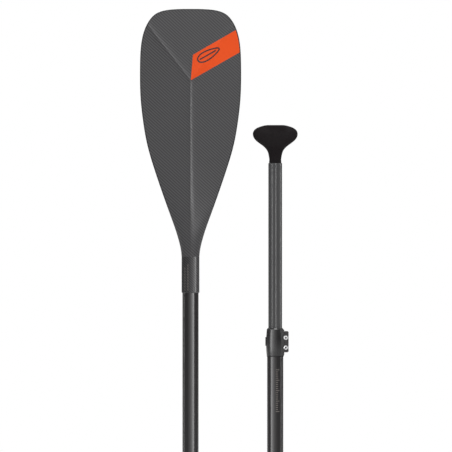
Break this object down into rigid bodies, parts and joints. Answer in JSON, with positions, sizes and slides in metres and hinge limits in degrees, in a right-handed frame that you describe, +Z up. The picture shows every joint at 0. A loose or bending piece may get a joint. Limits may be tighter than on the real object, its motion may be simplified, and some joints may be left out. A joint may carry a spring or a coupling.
{
  "type": "single-blade paddle",
  "caption": "Adjustable take-apart single-blade paddle in two upright sections: ridged carbon blade on a shaft, and a clamped telescoping shaft with a palm grip.",
  "frame": {"origin": "centre of the blade section's open lower end, which is the mouth of the socket for the ferrule, on the surface that both sections stand on", "axes": "+Z up the shafts to the blade's tip, +X from the blade section to the handle section, -Y out of the blade's ridged front face"},
  "size_m": [0.2841, 0.0756, 1.059],
  "materials": {
    "blade_laminate": "satin clear-coated twill carbon laminate",
    "shaft_laminate": "gloss black clear-coated carbon tube",
    "extension_laminate": "satin dark grey carbon tube",
    "core_foam": "closed-cell foam",
    "edge_plastic": "smooth dark edge strip",
    "clamp_plastic": "dark grey moulded nylon, polished",
    "cap_plastic": "black moulded nylon",
    "grip_plastic": "flat black soft-touch moulding",
    "bush_plastic": "acetal",
    "steel": "stainless steel",
    "button_steel": "polished stainless steel",
    "ferrule_laminate": "ground carbon tube, satin"
  },
  "bodies": {
    "blade_section": {"blade_core": "core_foam", "blade_front_skin": "blade_laminate", "blade_back_skin": "blade_laminate", "edge_strip": "edge_plastic", "blade_tang": "ferrule_laminate", "neck_sleeve": "blade_laminate", "lower_shaft": "shaft_laminate", "shaft_plug": "core_foam"},
    "handle_section": {"middle_tube": "shaft_laminate", "ferrule": "ferrule_laminate", "ferrule_plug": "core_foam", "button_spring": "steel", "clamp_collar": "clamp_plastic", "clamp_liner": "bush_plastic", "front_cap": "cap_plastic", "clamp_screws": "steel", "clamp_washers": "steel", "barrel_nut": "steel", "thrust_plate": "steel"},
    "extension": {"extension_tube": "extension_laminate", "extension_plug": "core_foam", "guide_bush": "bush_plastic", "palm_grip": "grip_plastic"},
    "lever": {"clamp_lever": "clamp_plastic"},
    "button": {"snap_button": "button_steel"}
  },
  "joints": [
    {"name": "handle_lift", "type": "slide", "parent": "blade_section", "child": "handle_section", "axis": [0, 0, 1], "range_m": [0, 0.1]},
    {"name": "extension_slide", "type": "slide", "parent": "handle_section", "child": "extension", "axis": [0, 0, 1], "range_m": [-0.18, 0.1]},
    {"name": "lever_swing", "type": "hinge", "parent": "handle_section", "child": "lever", "pos_m": [0.1715, 0.0149, 0.459], "axis": [0, 0, -1], "range_deg": [0, 120]},
    {"name": "button_press", "type": "slide", "parent": "handle_section", "child": "button", "axis": [0, -1, 0], "range_m": [-0.0026, 0], "stiffness_N_per_m": 900, "springref_m": 0.003}
  ]
}
